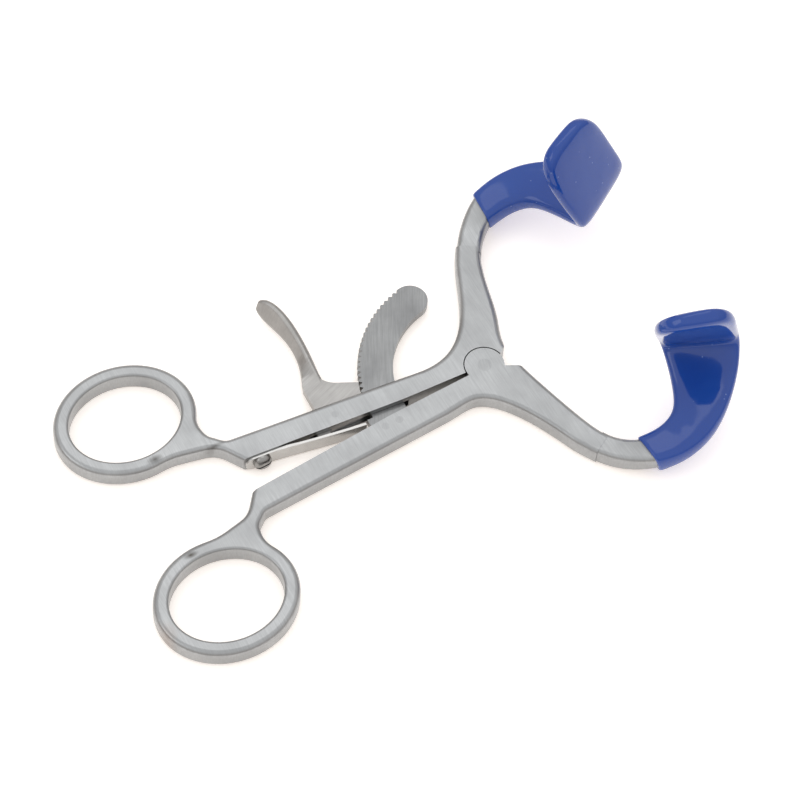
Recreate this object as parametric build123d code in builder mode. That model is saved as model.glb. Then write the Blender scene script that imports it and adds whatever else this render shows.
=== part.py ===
"""Ratchet cheek retractor: two ring-handled levers on one rivet, held open by a toothed bar."""

import math
import os

from build123d import *

os.makedirs("parts", exist_ok=True)

# Frame: Z is the pivot axis, the levers lie on Z = 0, +X points to the jaws, +Y to the upper lever.
stock = 4.9  # thickness of the forged levers
edge_round = 1.2

# Pivot: inside the ear circle each lever keeps one half of its thickness.
ear_radius = 4.5
ear_gap = 0.25
face_gap = 0.03
pin_radius = 1.6
pin_head_radius = 2.3
pin_head_depth = 0.7
running_gap = 0.05

# Finger rings and the necks that join them to the handles.
ring_half_length = 16.0
ring_half_width = 13.9
hole_half_length = 12.6
hole_half_width = 10.6
hole_round = 0.6
neck_rounds = [6.0, 16.0, 6.0, 3.0, 2.5]
# Where the necks meet the ring, as shares of its half length and half width.
neck_meets_inner = (0.3, 0.95)
neck_meets_outer = (0.83, 0.56)

# Toothed bar: an arc about the pivot, with a square foot inside the lower handle.
tip_radius = 28.2
bar_width = 7.9
bar_thickness = 2.0
bar_low = 1.45
bar_end = 103.5  # degrees, centre of the rounded end
bar_root = 181.5  # degrees, inside the foot
foot_left = -29.6
foot_right = -20.4
foot_top = 0.1
foot_bottom = -6.2
tooth_depth = 0.8
tooth_count = 24
tooth_start = 104.5  # degrees
tooth_pitch = 2.9  # degrees
tooth_deepest = 0.3  # share of the pitch at which a gap is deepest
tooth_ends = 0.95  # share of the pitch at which a gap ends
tooth_overrun = 0.2  # how far a gap is cut past the bar's outer face
slot_gap = 0.1
bar_clearance = 1.3
rivet_radius = 0.9
rivet_places = [(-27.3, -3.9), (-23.8, -3.8)]

# Release lever: a plate in the upper handle's slot, twisted above it into a finger piece.
slot_left = -43.0
slot_bottom = -1.0
slot_top = 11.0
lever_pin = (-35.6, 3.9)
lever_pin_radius = 0.85
pawl_gap = 0.15
pawl_low = 175.0  # degrees about the pivot
pawl_high = 160.0
heel = [(-30.0, 1.9), (-37.4, 1.9), (-38.8, 0.5), (-41.2, 0.75), (-41.2, 3.4), (-38.9, 5.6)]
lever_back = [(-38.5, 7.3), (-38.3, 13.6), (-37.3, 16.2)]
web_top = (-34.3, 16.6)
web_middle = (-33.1, 13.5)
web_foot = (-30.6, 11.6)
finger = [
    ((-35.8, 13.2, 2.45), 0, 5.0, 2.0),
    ((-35.2, 16.0, 2.45), 12, 4.2, 2.0),
    ((-34.4, 19.5, 2.5), 42, 3.6, 2.0),
    ((-33.9, 23.6, 2.7), 58, 3.6, 1.9),
    ((-34.0, 28.2, 3.0), 62, 4.2, 1.9),
    ((-34.8, 33.0, 3.2), 62, 5.0, 1.8),
    ((-35.9, 36.6, 3.3), 62, 4.4, 1.6),
    ((-36.6, 38.2, 3.3), 62, 2.4, 1.3),
]

# Leaf spring and its screw, on the inner face of the upper handle.
leaf_thickness = 0.6
leaf_height = 4.0
leaf_flat = [(-58.4, 2.85), (-51.5, 2.41)]
leaf_free = [(-46.0, 1.5), (-39.5, 0.4), (-33.4, -0.5), (-30.6, -0.85)]
leaf_end_run = (1, -0.12)
leaf_corner = 1.9
leaf_hole_radius = 1.0
screw_place = (-54.6, 2.0)
leaf_slope = -0.064
screw_head_radius = 2.1
screw_head_height = 1.5
screw_shank_radius = 0.9
screw_depth = 4.6
driver_slot = (6.3, 0.5, 0.6)  # length, right across the head, width and depth
driver_angle = 12
screw_dome = 1.3

# Outlines of each lever, drawn as the lower one lies; the upper lever is then mirrored.
lower_shape = {
    "ring": (-77.2, -25.0),
    "handle_inner": [(-4.0, -0.75), (-25.0, -1.9), (-60.8, -5.1)],
    "neck_inner": [(-64.3, -9.6), (-75.0, -12.0)],
    "neck_outer": [(-64.6, -19.5), (-63.2, -13.0), (-60.3, -10.6)],
    "handle_outer": (-14.0, -7.4),
    "shoulder": [(7.7, -4.1), (5.2, -2.8), (3.5, -2.0)],
}
upper_shape = {
    "ring": (-76.8, -24.1),
    "handle_inner": [(-4.0, -0.1), (-20.0, -0.45), (-58.8, -2.9)],
    "neck_inner": [(-62.5, -8.6), (-74.5, -11.0)],
    "neck_outer": [(-64.2, -18.5), (-62.7, -12.2), (-59.8, -9.2)],
    "handle_outer": (-14.0, -5.5),
    "shoulder": [(7.1, -4.2), (6.3, -2.2), (4.75, -1.1), (3.5, -1.0)],
}
arm_outer = [(-5.5, -6.9), (1.6, -13.8), (7.2, -25.3), (10.4, -31.1)]
arm_inner = [(15.3, -28.3), (11.9, -19.9), (9.0, -9.5)]
arm_run = Vector(0.52, -0.85)
shoulder_run = (-0.2, 1.0)
sharp_above = -5.3  # rims above this Y stay sharp, but not on the necks and rings
rim_margin = 0.3

# The jaw, from the arm to the tip of its plate: centre, direction across, width and thickness of
# its steel. The steel ends inside the plate, and the cover carries the same sections to the tip.
jaw = [
    ((12.3, -28.2, 2.45), (0.85, 0.52, 0.0), 5.6, 4.8),
    ((13.2, -29.7, 2.45), (0.85, 0.52, 0.0), 5.6, 4.8),
    ((17.0, -34.1, 3.4), (0.66, 0.75, 0.0), 5.8, 4.7),
    ((21.3, -36.9, 5.1), (0.28, 0.96, 0.02), 6.4, 4.4),
    ((26.4, -37.6, 6.5), (-0.14, 0.98, -0.05), 8.0, 3.9),
    ((31.2, -36.3, 8.2), (-0.35, 0.93, -0.1), 9.2, 3.4),
    ((34.7, -33.3, 9.9), (-0.52, 0.85, -0.1), 11.0, 3.0),
    ((38.2, -29.3, 11.2), (-0.73, 0.68, -0.07), 13.0, 2.7),
    ((40.8, -25.5, 12.5), (-0.83, 0.55, -0.08), 14.6, 2.5),
    ((41.9, -22.7, 14.6), (-0.85, 0.52, -0.1), 15.2, 2.4),
    ((41.3, -21.7, 17.4), (-0.86, 0.5, -0.1), 15.6, 2.3),
    ((39.2, -22.8, 22.0), (-0.88, 0.46, -0.1), 15.6, 2.2),
    ((36.3, -25.0, 29.0), (-0.91, 0.4, -0.1), 15.4, 2.1),
    ((34.9, -26.1, 32.5), (-0.93, 0.36, -0.1), 14.8, 2.0),
    ((34.2, -26.7, 34.3), (-0.93, 0.35, -0.1), 13.4, 2.0),
    ((33.7, -27.1, 35.5), (-0.94, 0.33, -0.1), 11.4, 1.9),
    ((33.4, -27.3, 36.3), (-0.94, 0.33, -0.1), 8.8, 1.5),
    ((33.2, -27.5, 36.8), (-0.94, 0.33, -0.1), 5.8, 0.5),
]
jaw_corner = 0.4  # corner radius of a section, as a share of its thickness

# Moulded jaw cover: an even wall over the jaw's steel, closed beyond its tip.
cover_wall = 0.8
cover_from = 3  # station of the jaw where the cover begins
bare_end = 4  # station, just inside the cover, where the smooth part of the steel ends
steel_end = 12  # number of stations that the steel runs through


# The screw's head bears on the leaf's lower face, square to it.
screw_seat = Plane(
    origin=(*screw_place, stock / 2), x_dir=(1, leaf_slope, 0), z_dir=(leaf_slope, -1, 0)
)


def polar(radius, degrees):
    """Point at a radius and an angle about the pivot."""
    return (radius * math.cos(math.radians(degrees)), radius * math.sin(math.radians(degrees)))


def sections_along(stations, wall=0.0):
    """Rounded sections square to the line through the stations, each grown by the same wall."""
    spine = Spline([Vector(*station[0]) for station in stations])
    sections = []
    for centre, across, width, thickness in stations:
        along = spine.tangent_at(spine.param_at_point(Vector(*centre)))
        square = Vector(*across) - along * Vector(*across).dot(along)
        with BuildSketch(Plane(origin=centre, x_dir=square, z_dir=along)) as section:
            corner = min(jaw_corner * thickness, edge_round) + wall
            RectangleRounded(width + 2 * wall, thickness + 2 * wall, corner)
        sections.append(section.sketch)
    return sections


def lever_outline(shape):
    """Plan of a lever at mid thickness, without the ear or the finger hole."""
    meetings = [
        (shape["ring"][0] + along * ring_half_length, shape["ring"][1] + across * ring_half_width)
        for along, across in (neck_meets_inner, neck_meets_outer)
    ]
    corners = [shape["neck_inner"][0], *meetings, *shape["neck_outer"][1:]]
    with BuildSketch() as plan:
        with BuildLine():
            inner = Polyline(*shape["handle_inner"], *shape["neck_inner"], shape["ring"])
            outer = Polyline(inner @ 1, *shape["neck_outer"], shape["handle_outer"])
            bend = Spline(outer @ 1, *arm_outer, tangents=[outer % 1, arm_run])
            Line(bend @ 1, arm_inner[0])
            Spline(*arm_inner, shape["shoulder"][0], tangents=[-arm_run, shoulder_run])
            Polyline(*shape["shoulder"], inner @ 0)
        make_face()
        with Locations(shape["ring"]):
            Ellipse(ring_half_length, ring_half_width)
        for corner, radius in zip(corners, neck_rounds):
            fillet(plan.vertices().sort_by_distance((*corner, 0))[0], radius)
    return plan.sketch


def is_rounded(rim, shape):
    """All rims are rounded but the handle's inner face, the shoulder and the arm's cut end."""
    middle = rim @ 0.5
    on_ring_side = middle.X < shape["handle_inner"][-1][0] - rim_margin
    on_cut_end = middle.Y < arm_inner[0][1] - rim_margin and middle.X > arm_outer[-1][0]
    return on_ring_side or (middle.Y < sharp_above and not on_cut_end)


def lever_blank(shape):
    """Forged lever with rounded edges and the steel of its jaw, full thickness at the pivot."""
    with BuildPart() as blank:
        add(lever_outline(shape))
        extrude(amount=stock)
        with BuildSketch():
            with Locations(shape["ring"]):
                Ellipse(hole_half_length, hole_half_width)
        extrude(amount=stock, mode=Mode.SUBTRACT)
        rims = blank.faces().filter_by(Axis.Z).edges()
        hole_rims = rims.sort_by_distance((*shape["ring"], stock / 2))[:2]
        outer_rims = [rim for rim in rims if rim not in hole_rims]
        fillet([rim for rim in outer_rims if is_rounded(rim, shape)], edge_round)
        fillet(hole_rims, hole_round)
        sections = sections_along(jaw)[:steel_end]
        loft(sections[: bare_end + 1])
        loft(sections[bare_end:], ruled=True)
    return blank.part


# Toothed bar: teeth lean so that they stop the upper handle from moving away from the lower one.
with BuildPart() as ratchet_bar:
    mid_radius = tip_radius - bar_width / 2
    with BuildSketch(Plane.XY.offset(bar_low)) as bar_plan:
        with BuildLine():
            outer = CenterArc((0, 0), tip_radius, bar_end, bar_root - bar_end)
            inner = CenterArc((0, 0), tip_radius - bar_width, bar_end, bar_root - bar_end)
            Line(outer @ 0, inner @ 0)
            Line(outer @ 1, inner @ 1)
        make_face()
        with Locations(polar(mid_radius, bar_end)):
            Circle(bar_width / 2)
        with Locations(((foot_left + foot_right) / 2, (foot_top + foot_bottom) / 2)):
            Rectangle(foot_right - foot_left, foot_top - foot_bottom)
        for number in range(tooth_count):
            start = tooth_start + number * tooth_pitch
            with BuildLine():
                Polyline(
                    polar(tip_radius + tooth_overrun, start),
                    polar(tip_radius - tooth_depth, start + tooth_deepest * tooth_pitch),
                    polar(tip_radius + tooth_overrun, start + tooth_ends * tooth_pitch),
                    close=True,
                )
            make_face(mode=Mode.SUBTRACT)
    extrude(amount=bar_thickness)
    with Locations(*[(x, y, bar_low) for x, y in rivet_places]):
        Hole(rivet_radius)
ratchet_bar.part.label = "ratchet_bar"

with BuildPart() as ratchet_rivets:
    with BuildSketch():
        with Locations(*rivet_places):
            Circle(rivet_radius)
    extrude(amount=stock)
ratchet_rivets.part.label = "ratchet_rivets"

# Pivot rivet: pressed into the lower lever's ear, its head sunk in the upper lever's ear.
with BuildPart() as pivot_pin:
    with BuildSketch():
        Circle(pin_radius)
    extrude(amount=stock)
    with BuildSketch():
        Circle(pin_head_radius)
    extrude(amount=pin_head_depth)
pivot_pin.part.label = "pivot_pin"

# Lower lever: the upper half of the joint, a closed slot for the bar's foot, two rivet holes.
with BuildPart() as lower_lever:
    add(lever_blank(lower_shape))
    with BuildSketch():
        Circle(ear_radius + ear_gap)
    extrude(amount=stock / 2 + face_gap, mode=Mode.SUBTRACT)
    with BuildSketch(Plane.XY.offset(stock / 2 + face_gap)):
        Circle(ear_radius)
    extrude(amount=stock / 2 - face_gap)
    with BuildSketch():
        Circle(pin_radius)
        with Locations(*rivet_places):
            Circle(rivet_radius)
    extrude(amount=stock, mode=Mode.SUBTRACT)
    add(ratchet_bar.part, mode=Mode.SUBTRACT)
lower_lever.part.label = "lower_lever"

# Upper lever: the lower half of the joint and a slot right through for the bar and release lever.
with BuildPart() as upper_lever:
    mirror(lever_blank(upper_shape), about=Plane.XZ)
    with BuildSketch(Plane.XY.offset(stock / 2 - face_gap)):
        Circle(ear_radius + ear_gap)
    extrude(amount=stock / 2 + face_gap, mode=Mode.SUBTRACT)
    with BuildSketch():
        Circle(ear_radius)
    extrude(amount=stock / 2 - face_gap)
    with BuildSketch():
        Circle(pin_radius + running_gap)
        with Locations(lever_pin):
            Circle(lever_pin_radius)
    extrude(amount=stock, mode=Mode.SUBTRACT)
    with BuildSketch():
        Circle(pin_head_radius + running_gap)
    extrude(amount=pin_head_depth + running_gap, mode=Mode.SUBTRACT)
    slot_right = -(tip_radius - bar_width - bar_clearance)
    with BuildSketch(Plane.XY.offset(bar_low - slot_gap)):
        with Locations(((slot_left + slot_right) / 2, (slot_bottom + slot_top) / 2)):
            Rectangle(slot_right - slot_left, slot_top - slot_bottom)
    extrude(amount=bar_thickness + 2 * slot_gap, mode=Mode.SUBTRACT)
    with BuildSketch(screw_seat):
        Circle(screw_shank_radius)
    extrude(amount=-screw_depth, mode=Mode.SUBTRACT)
upper_lever.part.label = "upper_lever"

with BuildPart() as release_lever_pin:
    with BuildSketch():
        with Locations(lever_pin):
            Circle(lever_pin_radius)
    extrude(amount=stock)
release_lever_pin.part.label = "release_lever_pin"

# Release lever: its tip follows the bar, its heel rests on the leaf spring.
with BuildPart() as release_lever:
    with BuildSketch(Plane.XY.offset(bar_low)):
        with BuildLine():
            tip = CenterArc((0, 0), tip_radius + pawl_gap, pawl_low, pawl_high - pawl_low)
            Polyline(tip @ 0, *heel, *lever_back, web_top)
            ThreePointArc(web_top, web_middle, web_foot)
            Line(web_foot, tip @ 1)
        make_face()
        with Locations(lever_pin):
            Circle(lever_pin_radius + running_gap, mode=Mode.SUBTRACT)
    extrude(amount=bar_thickness)
    stations = []
    spine = Spline([Vector(*station[0]) for station in finger])
    for centre, twist, width, thickness in finger:
        along = spine.tangent_at(spine.param_at_point(Vector(*centre)))
        flat = Vector(0, 0, 1).cross(along).normalized()
        across = flat.rotate(Axis((0, 0, 0), tuple(along)), -twist)
        stations.append((centre, across, width, thickness))
    loft(sections_along(stations))
release_lever.part.label = "release_lever"

# Leaf spring: flat under its screw, then bent away from the handle.
with BuildPart() as leaf_spring:
    drop = Vector(0, -leaf_thickness)
    with BuildSketch(Plane.XY.offset((stock - leaf_height) / 2)):
        with BuildLine():
            flat = Line(*leaf_flat)
            free = Spline(flat @ 1, *leaf_free, tangents=[flat % 1, leaf_end_run])
            Line(free @ 1, free @ 1 + drop)
            under = [Vector(*place) + drop for place in leaf_free[-2::-1]]
            back = Spline(free @ 1 + drop, *under, flat @ 1 + drop)
            Line(back @ 1, flat @ 0 + drop)
            Line(flat @ 0 + drop, flat @ 0)
        make_face()
    extrude(amount=leaf_height)
    fillet(leaf_spring.edges().filter_by(Axis.Y).group_by(Axis.X)[0], leaf_corner)
    with BuildSketch(screw_seat):
        Circle(leaf_hole_radius)
    extrude(amount=-2 * leaf_thickness, mode=Mode.SUBTRACT)
leaf_spring.part.label = "leaf_spring"

with BuildPart() as spring_screw:
    with BuildSketch(screw_seat):
        Circle(screw_head_radius)
    extrude(amount=screw_head_height)
    fillet(spring_screw.faces().sort_by(Axis.Y)[0].edges(), screw_dome)
    with BuildSketch(screw_seat.offset(screw_head_height)):
        Rectangle(*driver_slot[:2], rotation=driver_angle)
    extrude(amount=-driver_slot[2], mode=Mode.SUBTRACT)
    with BuildSketch(screw_seat):
        Circle(screw_shank_radius)
    extrude(amount=-screw_depth)
spring_screw.part.label = "spring_screw"

with BuildPart() as lower_jaw_cover:
    loft(sections_along(jaw, cover_wall)[cover_from:], ruled=True)
    loft(sections_along(jaw)[cover_from:steel_end], ruled=True, mode=Mode.SUBTRACT)
lower_jaw_cover.part.label = "lower_jaw_cover"

with BuildPart() as upper_jaw_cover:
    mirror(lower_jaw_cover.part, about=Plane.XZ)
upper_jaw_cover.part.label = "upper_jaw_cover"

for piece in (
    lower_lever,
    upper_lever,
    pivot_pin,
    ratchet_bar,
    ratchet_rivets,
    release_lever,
    release_lever_pin,
    leaf_spring,
    spring_screw,
    lower_jaw_cover,
    upper_jaw_cover,
):
    export_step(piece.part, f"parts/{piece.part.label}.step")
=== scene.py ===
"""The looks of a ratchet cheek retractor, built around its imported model."""

import math

import bmesh
import bpy
from mathutils import Matrix, Vector


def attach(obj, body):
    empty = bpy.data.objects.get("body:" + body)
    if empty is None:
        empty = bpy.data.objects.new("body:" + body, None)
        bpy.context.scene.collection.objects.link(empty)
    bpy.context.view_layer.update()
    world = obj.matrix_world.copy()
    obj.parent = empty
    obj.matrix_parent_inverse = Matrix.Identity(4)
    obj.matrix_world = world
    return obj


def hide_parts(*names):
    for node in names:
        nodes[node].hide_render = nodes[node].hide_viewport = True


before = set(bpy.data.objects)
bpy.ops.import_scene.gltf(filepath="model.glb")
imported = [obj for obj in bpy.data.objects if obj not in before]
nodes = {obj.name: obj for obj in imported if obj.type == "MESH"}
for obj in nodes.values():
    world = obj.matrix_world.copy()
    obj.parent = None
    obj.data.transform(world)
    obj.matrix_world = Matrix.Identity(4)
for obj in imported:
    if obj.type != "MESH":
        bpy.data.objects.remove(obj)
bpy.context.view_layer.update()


# --- Floor ---------------------------------------------------------------------------------
# A sheet of matt opal acrylic that the instrument lies on, lit faintly from below, so shadows
# stay pale and a soft warm light reaches the sides of the steel.


def linear(hex_colour):
    """An sRGB hex colour as a linear RGBA value."""
    shades = []
    for place in (1, 3, 5):
        shade = int(hex_colour[place : place + 2], 16) / 255
        shades.append(shade / 12.92 if shade <= 0.04045 else ((shade + 0.055) / 1.055) ** 2.4)
    return (*shades, 1.0)


def add_node(tree, kind, settings=None, links=None):
    """Adds a shader node, sets its inputs or properties, and links its inputs to other outputs."""
    node = tree.nodes.new(kind)
    for name, value in (settings or {}).items():
        if name in node.inputs:
            node.inputs[name].default_value = value
        else:
            setattr(node, name, value)
    for name, output in (links or {}).items():
        tree.links.new(output, node.inputs[name])
    return node


def new_material(name):
    """An empty node material, and its tree with a Principled shader wired to the output."""
    material = bpy.data.materials.new(name)
    material.use_nodes = True
    tree = material.node_tree
    return material, tree, tree.nodes["Principled BSDF"]


def dress(piece, material):
    """Gives every face of a piece one material."""
    piece.data.materials.clear()
    piece.data.materials.append(material)
    for slot in piece.material_slots:
        slot.material = material


opal, tree, shader = new_material("backlit_opal_acrylic")
shader.inputs["Base Color"].default_value = linear("#FAFAFA")
shader.inputs["Roughness"].default_value = 0.7
shader.inputs["Emission Color"].default_value = linear("#FFF1E4")
shader.inputs["Emission Strength"].default_value = 0.4

mesh = bpy.data.meshes.new("floor")
shape = bmesh.new()
bmesh.ops.create_grid(shape, x_segments=1, y_segments=1, size=3.0)
shape.to_mesh(mesh)
shape.free()
floor = bpy.data.objects.new("floor", mesh)
bpy.context.collection.objects.link(floor)
dress(floor, opal)


# --- Levers --------------------------------------------------------------------------------
# Two levers drop-forged in martensitic stainless steel, ground and then finished on a fine belt
# run across the handles. The belt leaves a satin grain across the flats; the blends are softer.


def satin_steel(name, tint, dark, grain_turn, grain_size, roughness, stains=()):
    """Stainless steel with a ground grain, drawn coarser than the real one so that it shows."""
    grain_run = 0.035  # how fast the grain changes along its lines, beside across them
    grain_sink = 0.2  # and down the sides
    mottle_size = 0.0077
    roughness_spread = 0.07
    material, tree, shader = new_material(name)
    place = add_node(tree, "ShaderNodeTexCoord").outputs["Object"]
    turned = add_node(
        tree, "ShaderNodeMapping", {"Rotation": (0, 0, grain_turn)}, {"Vector": place}
    )
    across = 1 / grain_size
    stretched = add_node(
        tree,
        "ShaderNodeMapping",
        {"Scale": (across, grain_run * across, grain_sink * across)},
        {"Vector": turned.outputs[0]},
    )
    grain = add_node(
        tree,
        "ShaderNodeTexNoise",
        {"Scale": 1.0, "Detail": 3.0, "Roughness": 0.65},
        {"Vector": stretched.outputs[0]},
    )
    cloud = add_node(
        tree, "ShaderNodeTexNoise", {"Scale": 1 / mottle_size, "Detail": 4.0}, {"Vector": place}
    )
    tone = add_node(
        tree, "ShaderNodeMix", {"data_type": "RGBA"}, {"Factor": cloud.outputs["Fac"]}
    )
    tone.inputs["A"].default_value = linear(tint)
    tone.inputs["B"].default_value = linear(dark)
    lines = add_node(
        tree,
        "ShaderNodeMapRange",
        {"From Min": 0.3, "From Max": 0.7, "To Min": 0.0, "To Max": 0.5},
        {"Value": grain.outputs["Fac"]},
    )
    lined = add_node(
        tree,
        "ShaderNodeMix",
        {"data_type": "RGBA"},
        {"Factor": lines.outputs[0], "A": tone.outputs["Result"]},
    )
    lined.inputs["B"].default_value = linear(dark)
    colour = lined.outputs["Result"]
    for spot, size, stain, strength in stains:
        shrink = tuple(1 / length for length in size)
        centring = tuple(-along * share for along, share in zip(spot, shrink))
        moved = add_node(
            tree,
            "ShaderNodeMapping",
            {"Location": centring, "Scale": shrink},
            {"Vector": place},
        )
        ball = add_node(
            tree,
            "ShaderNodeTexGradient",
            {"gradient_type": "SPHERICAL"},
            {"Vector": moved.outputs[0]},
        )
        patchy = add_node(tree, "ShaderNodeMath", {"operation": "MULTIPLY"})
        tree.links.new(ball.outputs["Fac"], patchy.inputs[0])
        tree.links.new(cloud.outputs["Fac"], patchy.inputs[1])
        faded = add_node(tree, "ShaderNodeMath", {"operation": "MULTIPLY", "use_clamp": True})
        tree.links.new(patchy.outputs[0], faded.inputs[0])
        faded.inputs[1].default_value = strength
        stained = add_node(
            tree, "ShaderNodeMix", {"data_type": "RGBA"}, {"Factor": faded.outputs[0], "A": colour}
        )
        stained.inputs["B"].default_value = linear(stain)
        colour = stained.outputs["Result"]
    tree.links.new(colour, shader.inputs["Base Color"])
    shader.inputs["Metallic"].default_value = 1.0
    shader.inputs["Anisotropic"].default_value = 0.35
    rough = add_node(
        tree,
        "ShaderNodeMapRange",
        {"To Min": roughness - roughness_spread, "To Max": roughness + roughness_spread},
        {"Value": grain.outputs["Fac"]},
    )
    tree.links.new(rough.outputs[0], shader.inputs["Roughness"])
    bump = add_node(
        tree,
        "ShaderNodeBump",
        {"Strength": 0.25, "Distance": 0.00004},
        {"Height": grain.outputs["Fac"]},
    )
    tree.links.new(bump.outputs[0], shader.inputs["Normal"])
    return material


# Handling stains beside the finger holes: place, half sizes, colour and strength.
ring_stains = (
    ((-0.0757, 0.0117, 0.0049), (0.0022, 0.0011, 0.004), "#3E3A36", 2.0),
    ((-0.0628, 0.0088, 0.0049), (0.0032, 0.0007, 0.004), "#4E4A46", 1.8),
    ((-0.0797, -0.0130, 0.0049), (0.0020, 0.0009, 0.004), "#4A4641", 1.8),
    ((-0.0926, -0.0272, 0.0025), (0.0035, 0.0040, 0.004), "#8C6E58", 1.2),
)
forged_steel = satin_steel(
    "belt_finished_forged_stainless", "#B9BBBC", "#8E8F90", 0.0, 0.00024, 0.32, ring_stains
)
for name in ("lower_lever", "upper_lever"):
    dress(nodes[name], forged_steel)


# --- Pivot pin and ratchet rivets ----------------------------------------------------------
# Soft stainless rivets, hammered tight and ground flush with the levers, so that only a faint
# ring shows round each one.

rivet_steel = satin_steel("flush_ground_rivet_stainless", "#B4B6B7", "#8A8B8C", 0.3, 0.0002, 0.34)
for name in ("pivot_pin", "ratchet_rivets", "release_lever_pin"):
    dress(nodes[name], rivet_steel)


# --- Ratchet bar and release lever ---------------------------------------------------------
# Both are blanked from 2 mm stainless sheet. The bar is tinted darker and greyer than the levers,
# and the twisted lever is painted lighter than the bar, to lift the shade on its sideways faces.

bar_steel = satin_steel("ground_sheet_stainless", "#A8A9A9", "#747576", 0.5, 0.00026, 0.36)
dress(nodes["ratchet_bar"], bar_steel)
# The release lever's lighter tint is painted light that lifts the shade on its sideways faces.
lever_steel = satin_steel("sheet_stainless_painted_lighter", "#BDBCBA", "#8C8A88", 1.2, 0.00026, 0.36)
dress(nodes["release_lever"], lever_steel)


# --- Leaf spring and its screw -------------------------------------------------------------
# A strip of hard-rolled spring stainless, polished, held at one end by a slotted domed screw.

spring_steel = satin_steel("rolled_spring_stainless", "#C6C5C3", "#B2B1AF", 1.5, 0.0006, 0.24)
dress(nodes["leaf_spring"], spring_steel)
screw_steel = satin_steel("turned_screw_stainless", "#A3A2A0", "#8B8A88", 0.8, 0.0008, 0.27)
dress(nodes["spring_screw"], screw_steel)


# --- Jaw covers ----------------------------------------------------------------------------
# The jaws are dipped in blue PVC plastisol and cured, which leaves a thick glossy skin with
# soft corners, a crisp end on the arm, a slightly uneven surface and a few pinhole bubbles.

vinyl, tree, shader = new_material("dipped_plastisol_pvc")
tint_size = 0.0111
pinhole_spacing = 0.00238
sag_size = 0.00526
place = add_node(tree, "ShaderNodeTexCoord").outputs["Object"]
cloud = add_node(
    tree, "ShaderNodeTexNoise", {"Scale": 1 / tint_size, "Detail": 2.0}, {"Vector": place}
)
tone = add_node(tree, "ShaderNodeMix", {"data_type": "RGBA"}, {"Factor": cloud.outputs["Fac"]})
tone.inputs["A"].default_value = linear("#143C90")
tone.inputs["B"].default_value = linear("#1C489A")
cells = add_node(
    tree, "ShaderNodeTexVoronoi", {"Scale": 1 / pinhole_spacing}, {"Vector": place}
)
holes = add_node(
    tree,
    "ShaderNodeMapRange",
    {"From Min": 0.05, "From Max": 0.09, "To Min": 0.45, "To Max": 0.0},
    {"Value": cells.outputs["Distance"]},
)
speckled = add_node(
    tree,
    "ShaderNodeMix",
    {"data_type": "RGBA"},
    {"Factor": holes.outputs[0], "A": tone.outputs["Result"]},
)
speckled.inputs["B"].default_value = linear("#7E97CC")
tree.links.new(speckled.outputs["Result"], shader.inputs["Base Color"])
sag = add_node(
    tree, "ShaderNodeTexNoise", {"Scale": 1 / sag_size, "Detail": 1.0}, {"Vector": place}
)
uneven = add_node(
    tree,
    "ShaderNodeBump",
    {"Strength": 0.3, "Distance": 0.0004},
    {"Height": sag.outputs["Fac"]},
)
tree.links.new(uneven.outputs[0], shader.inputs["Normal"])
shader.inputs["Roughness"].default_value = 0.08
shader.inputs["IOR"].default_value = 1.52

# The dip follows the jaw from the arm round the fold to the tip of its plate. Each station is a
# centre, the direction across the jaw, the width and thickness of the dip, and how far its inner
# edge runs back along the arm, in millimetres, with the plate's share of each jaw's own set.
jaw_stations = (
    ((21.3, -36.9, 5.1), (0.28, 0.96, 0.02), 7.8, 6.0, 2.2, 0.0),
    ((21.6, -36.97, 5.18), (0.26, 0.96, 0.02), 8.4, 6.5, 2.2, 0.0),
    ((22.8, -37.2, 5.5), (0.2, 0.97, 0.01), 8.5, 6.4, 1.9, 0.0),
    ((26.5, -37.7, 6.5), (-0.14, 0.98, -0.05), 9.4, 5.9, 0.6, 0.0),
    ((31.3, -36.6, 8.2), (-0.35, 0.93, -0.1), 10.6, 5.4, 0.0, 0.0),
    ((34.9, -33.6, 9.9), (-0.52, 0.85, -0.1), 12.2, 4.8, 0.0, 0.0),
    ((38.3, -29.4, 11.2), (-0.73, 0.68, -0.07), 14.4, 4.5, 0.0, 0.4),
    ((40.8, -25.5, 12.5), (-0.83, 0.55, -0.08), 16.3, 4.3, 0.0, 0.8),
    ((42.1, -22.5, 14.6), (-0.85, 0.52, -0.1), 17.2, 4.3, 0.0, 1.0),
    ((41.4, -21.6, 17.4), (-0.86, 0.5, -0.1), 17.8, 4.2, 0.0, 1.0),
    ((39.2, -22.8, 22.0), (-0.88, 0.46, -0.1), 18.2, 4.0, 0.0, 1.0),
    ((36.3, -25.0, 29.0), (-0.91, 0.4, -0.1), 17.8, 4.1, 0.0, 1.0),
    ((34.9, -26.1, 32.5), (-0.93, 0.36, -0.1), 16.6, 4.2, 0.0, 1.0),
    ((34.0, -26.9, 34.9), (-0.93, 0.35, -0.1), 13.8, 4.1, 0.0, 1.0),
    ((33.4, -27.3, 36.3), (-0.94, 0.33, -0.1), 9.8, 3.6, 0.0, 1.0),
    ((33.2, -27.5, 36.85), (-0.94, 0.33, -0.1), 5.4, 1.8, 0.0, 1.0),
)
section_corners = 16
squareness = 0.55  # 1 is an ellipse, and 0 a rectangle
plate_root = 14  # height at which the plate leaves the fold
plate_tip = 37
end_inset = 0.0004
millimetre = 0.001


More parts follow.
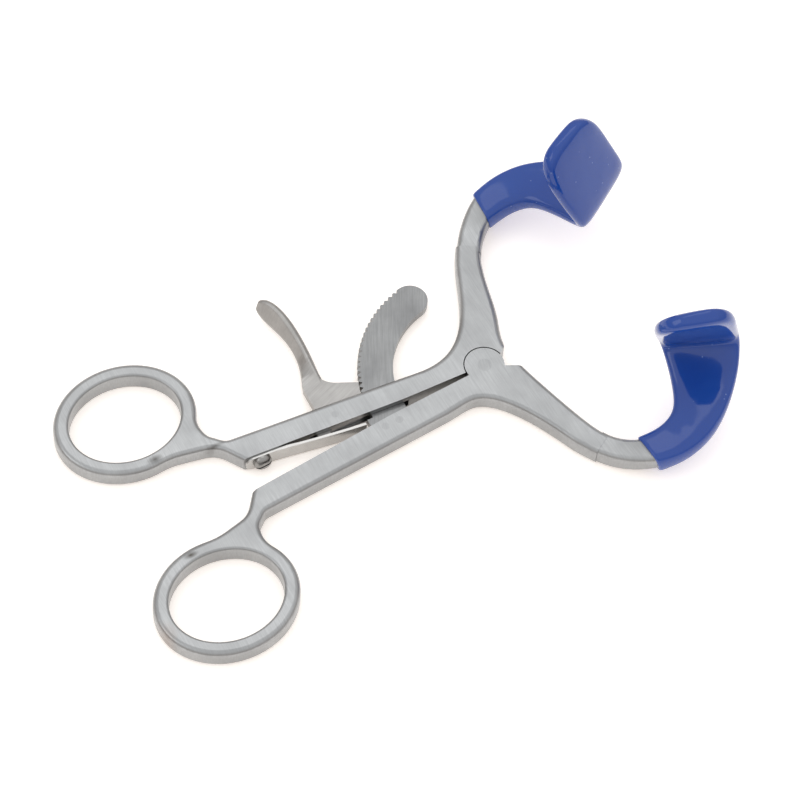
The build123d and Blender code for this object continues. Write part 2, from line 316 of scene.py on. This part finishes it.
def station_place(number, root_set, tip_set, spread):
    """The matrix that stands a unit section at one station, across the jaw's run."""
    centre, across, width, thickness, run_back, share = jaw_stations[number]
    before = Vector(jaw_stations[max(number - 1, 0)][0])
    after = Vector(jaw_stations[min(number + 1, len(jaw_stations) - 1)][0])
    along = (after - before).normalized()
    across = (Vector(across) - along * Vector(across).dot(along)).normalized()
    through = along.cross(across)
    climb = min(max((centre[2] - plate_root) / (plate_tip - plate_root), 0), 1)
    aside = share * (root_set + (tip_set - root_set) * climb)
    width += share * spread
    slope = across * width / 2 - along * run_back / 2
    turn = Matrix((slope, through * thickness / 2, along)).transposed().to_4x4()
    place = Vector(centre) - along * run_back / 2 + across * aside
    return Matrix.Scale(millimetre, 4) @ Matrix.Translation(place) @ turn


def dipped_cover(name, node, body, side, plate_set):
    """A smooth closed skin over a jaw, from rounded sections bridged one to the next."""
    shape = bmesh.new()
    rings = []
    for number in range(len(jaw_stations)):
        ring = bmesh.ops.create_circle(shape, segments=section_corners, radius=1)["verts"]
        for vert in ring:
            across, through = vert.co.x, vert.co.y
            vert.co.x = math.copysign(abs(across) ** squareness, across)
            vert.co.y = math.copysign(abs(through) ** squareness, through)
        bmesh.ops.transform(shape, matrix=station_place(number, *plate_set), verts=ring)
        rings.append({edge for vert in ring for edge in vert.link_edges})
    for near, far in zip(rings, rings[1:]):
        bmesh.ops.bridge_loops(shape, edges=list(near | far))
    for end in (rings[0], rings[-1]):
        cap = bmesh.ops.contextual_create(shape, geom=list(end))["faces"]
        bmesh.ops.inset_region(shape, faces=cap, thickness=end_inset)
    bmesh.ops.scale(shape, vec=(1, side, 1), verts=shape.verts)
    bmesh.ops.recalc_face_normals(shape, faces=shape.faces)
    for face in shape.faces:
        face.smooth = True
    mesh = bpy.data.meshes.new(name)
    shape.to_mesh(mesh)
    shape.free()
    piece = bpy.data.objects.new(name, mesh)
    bpy.context.collection.objects.link(piece)
    soften = piece.modifiers.new("soften_corners", "SUBSURF")
    soften.levels = 3
    soften.render_levels = 3
    dress(piece, vinyl)
    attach(piece, body)
    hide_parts(node)


# Each jaw's own set: how far its plate sits aside at the root and at the tip, and how much wider
# it is, in millimetres.
dipped_cover("lower_dipped_cover", "lower_jaw_cover", "lower", 1, (0.7, 0.2, 0.2))
dipped_cover("upper_dipped_cover", "upper_jaw_cover", "upper", -1, (-0.2, 0.7, 1.2))


# --- Light and camera ----------------------------------------------------------------------
# Soft studio light: a white ceiling over dimmer, warmer walls, and two large softboxes, with a
# long lens well above the instrument's left side.

world = bpy.data.worlds.new("white_room")
world.use_nodes = True
sky = world.node_tree
ceiling_height = 0.75  # share of the way up at which the walls have turned white
toward = add_node(sky, "ShaderNodeTexCoord").outputs["Generated"]
height = add_node(sky, "ShaderNodeSeparateXYZ", {}, {"Vector": toward}).outputs["Z"]
climb = add_node(sky, "ShaderNodeMapRange", {"From Max": ceiling_height}, {"Value": height})
shade = add_node(sky, "ShaderNodeMix", {"data_type": "RGBA"}, {"Factor": climb.outputs[0]})
shade.inputs["A"].default_value = linear("#B5ABA4")
shade.inputs["B"].default_value = linear("#FFFFFF")
sky.links.new(shade.outputs["Result"], sky.nodes["Background"].inputs["Color"])
sky.nodes["Background"].inputs["Strength"].default_value = 1.05
bpy.context.scene.world = world
bpy.context.scene.view_settings.view_transform = "Standard"


def softbox(name, place, target, size, power):
    """A square area light that faces a point."""
    light = bpy.data.lights.new(name, "AREA")
    light.size = size
    light.energy = power
    box = bpy.data.objects.new(name, light)
    box.location = place
    box.rotation_euler = (Vector(target) - Vector(place)).to_track_quat("-Z", "Y").to_euler()
    bpy.context.collection.objects.link(box)


softbox("overhead_softbox", (0.2, 0.5, 1.2), (0, 0, 0), 0.7, 1.2)
softbox("side_softbox", (-0.9, 0.2, 0.7), (0, 0, 0), 0.5, 0.9)

camera_data = bpy.data.cameras.new("camera")
camera_data.lens = 135
camera_data.sensor_width = 36
camera = bpy.data.objects.new("camera", camera_data)
right = Vector((0.8726, -0.4861, 0.0468))
up = Vector((0.3890, 0.7498, 0.5353))
back = Vector((-0.2953, -0.4489, 0.8434))
turn = Matrix((right, up, back)).transposed().to_4x4()
camera_place = (-0.21595, -0.29548, 0.56108)
camera.matrix_world = Matrix.Translation(camera_place) @ turn
bpy.context.collection.objects.link(camera)
bpy.context.scene.camera = camera
